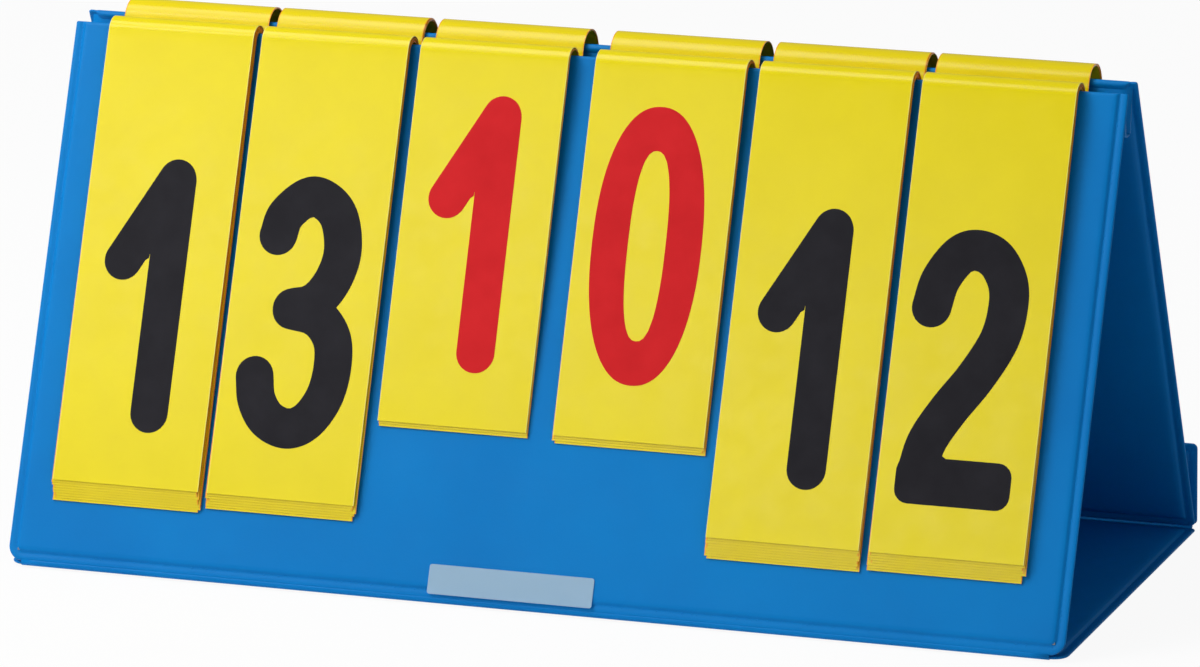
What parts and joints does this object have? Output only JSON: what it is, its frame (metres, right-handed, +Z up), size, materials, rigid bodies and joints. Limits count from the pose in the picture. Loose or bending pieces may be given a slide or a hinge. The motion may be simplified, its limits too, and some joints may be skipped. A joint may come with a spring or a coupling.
{
  "type": "tabletop flip scoreboard",
  "caption": "Folding tent-shaped tabletop scoreboard with stiffened vinyl panels and columns of bound number leaves that flip from front to back over the top ridges.",
  "frame": {"origin": "on the table under the middle of the base", "axes": "+X along the case to the viewer's right, -Y towards the front viewer, +Z up"},
  "size_m": [0.43, 0.1837, 0.206],
  "materials": {
    "blue_vinyl": "satin coated vinyl with a fine grain",
    "stiffener_board": "plain grey board",
    "yellow_sheet": "satin PVC sheet with a fine weave, printed numerals",
    "clear_window": "bare clear film",
    "blue_thread": "sewing thread",
    "hook_tape": "woven hook tape",
    "loop_tape": "brushed loop tape"
  },
  "bodies": {
    "case": {"front_board": "stiffener_board", "front_outer_skin": "blue_vinyl", "front_inner_skin": "blue_vinyl", "front_gusset": "blue_vinyl", "spine_tape": "blue_vinyl", "spine_stitches": "blue_thread", "front_fold": "blue_vinyl", "name_window": "clear_window", "top_leaf_roots": "yellow_sheet", "left_tens_front_leaves": "yellow_sheet", "left_ones_front_leaves": "yellow_sheet", "left_sets_front_leaves": "yellow_sheet", "right_sets_front_leaves": "yellow_sheet", "right_tens_front_leaves": "yellow_sheet", "right_ones_front_leaves": "yellow_sheet"},
    "rear_panel": {"rear_board": "stiffener_board", "rear_outer_skin": "blue_vinyl", "rear_inner_skin": "blue_vinyl", "rear_gusset": "blue_vinyl", "loop_strips": "loop_tape", "left_tens_rear_leaves": "yellow_sheet", "left_ones_rear_leaves": "yellow_sheet", "left_sets_rear_leaves": "yellow_sheet", "right_sets_rear_leaves": "yellow_sheet", "right_tens_rear_leaves": "yellow_sheet", "right_ones_rear_leaves": "yellow_sheet"},
    "base_panel": {"base_board": "stiffener_board", "base_outer_skin": "blue_vinyl", "base_inner_skin": "blue_vinyl", "flap_fold": "blue_vinyl"},
    "flap": {"flap_board": "stiffener_board", "flap_outer_skin": "blue_vinyl", "flap_inner_skin": "blue_vinyl", "hook_strips": "hook_tape"},
    "left_tens_arch": {"left_tens_top_arch": "yellow_sheet"},
    "left_tens_leaf": {"left_tens_top_leaf": "yellow_sheet"},
    "left_ones_arch": {"left_ones_top_arch": "yellow_sheet"},
    "left_ones_leaf": {"left_ones_top_leaf": "yellow_sheet"},
    "left_sets_arch": {"left_sets_top_arch": "yellow_sheet"},
    "left_sets_leaf": {"left_sets_top_leaf": "yellow_sheet"},
    "right_sets_arch": {"right_sets_top_arch": "yellow_sheet"},
    "right_sets_leaf": {"right_sets_top_leaf": "yellow_sheet"},
    "right_tens_arch": {"right_tens_top_arch": "yellow_sheet"},
    "right_tens_leaf": {"right_tens_top_leaf": "yellow_sheet"},
    "right_ones_arch": {"right_ones_top_arch": "yellow_sheet"},
    "right_ones_leaf": {"right_ones_top_leaf": "yellow_sheet"}
  },
  "joints": [
    {"name": "base_fold", "type": "hinge", "parent": "case", "child": "base_panel", "pos_m": [0, -0.09053, 0.0014], "axis": [1, 0, 0], "range_deg": [-113, 0], "deforming": ["front_fold"]},
    {"name": "rear_fold", "type": "hinge", "parent": "case", "child": "rear_panel", "pos_m": [0, 0.003, 0.18213], "axis": [1, 0, 0], "range_deg": [-50, 0]},
    {"name": "flap_turn", "type": "hinge", "parent": "base_panel", "child": "flap", "pos_m": [0, 0.09125, 0.0014], "axis": [1, 0, 0], "range_deg": [-90, 0], "deforming": ["flap_fold"]},
    {"name": "left_tens_root", "type": "hinge", "parent": "case", "child": "left_tens_arch", "pos_m": [0, 0.00053, 0.19293], "axis": [-1, 0, 0], "range_deg": [0, 35.34]},
    {"name": "left_tens_flip", "type": "hinge", "parent": "left_tens_arch", "child": "left_tens_leaf", "pos_m": [0, -0.00845, 0.22032], "axis": [-1, 0, 0], "range_deg": [0, 282.83], "deforming": ["left_tens_top_arch"]},
    {"name": "left_ones_root", "type": "hinge", "parent": "case", "child": "left_ones_arch", "pos_m": [0, 0.00053, 0.19293], "axis": [-1, 0, 0], "range_deg": [0, 35.34]},
    {"name": "left_ones_flip", "type": "hinge", "parent": "left_ones_arch", "child": "left_ones_leaf", "pos_m": [0, -0.00845, 0.22032], "axis": [-1, 0, 0], "range_deg": [0, 282.83], "deforming": ["left_ones_top_arch"]},
    {"name": "left_sets_root", "type": "hinge", "parent": "case", "child": "left_sets_arch", "pos_m": [0, 0.00053, 0.19293], "axis": [-1, 0, 0], "range_deg": [0, 35.34]},
    {"name": "left_sets_flip", "type": "hinge", "parent": "left_sets_arch", "child": "left_sets_leaf", "pos_m": [0, -0.00861, 0.22082], "axis": [-1, 0, 0], "range_deg": [0, 284.5], "deforming": ["left_sets_top_arch"]},
    {"name": "right_sets_root", "type": "hinge", "parent": "case", "child": "right_sets_arch", "pos_m": [0, 0.00053, 0.19293], "axis": [-1, 0, 0], "range_deg": [0, 35.34]},
    {"name": "right_sets_flip", "type": "hinge", "parent": "right_sets_arch", "child": "right_sets_leaf", "pos_m": [0, -0.00861, 0.22083], "axis": [-1, 0, 0], "range_deg": [0, 284.51], "deforming": ["right_sets_top_arch"]},
    {"name": "right_tens_root", "type": "hinge", "parent": "case", "child": "right_tens_arch", "pos_m": [0, 0.00053, 0.19293], "axis": [-1, 0, 0], "range_deg": [0, 35.34]},
    {"name": "right_tens_flip", "type": "hinge", "parent": "right_tens_arch", "child": "right_tens_leaf", "pos_m": [0, -0.00845, 0.22032], "axis": [-1, 0, 0], "range_deg": [0, 282.83], "deforming": ["right_tens_top_arch"]},
    {"name": "right_ones_root", "type": "hinge", "parent": "case", "child": "right_ones_arch", "pos_m": [0, 0.00053, 0.19293], "axis": [-1, 0, 0], "range_deg": [0, 35.34]},
    {"name": "right_ones_flip", "type": "hinge", "parent": "right_ones_arch", "child": "right_ones_leaf", "pos_m": [0, -0.00845, 0.22032], "axis": [-1, 0, 0], "range_deg": [0, 282.83], "deforming": ["right_ones_top_arch"]}
  ],
  "couplings": [
    {"joint": "rear_fold", "follows": "base_fold", "ratio": 0.44248},
    {"joint": "flap_turn", "follows": "base_fold", "ratio": 0.79646},
    {"joint": "left_tens_root", "follows": "left_tens_flip", "ratio": 0.12494},
    {"joint": "left_ones_root", "follows": "left_ones_flip", "ratio": 0.12495},
    {"joint": "left_sets_root", "follows": "left_sets_flip", "ratio": 0.12421},
    {"joint": "right_sets_root", "follows": "right_sets_flip", "ratio": 0.12421},
    {"joint": "right_tens_root", "follows": "right_tens_flip", "ratio": 0.12494},
    {"joint": "right_ones_root", "follows": "right_ones_flip", "ratio": 0.12494}
  ]
}
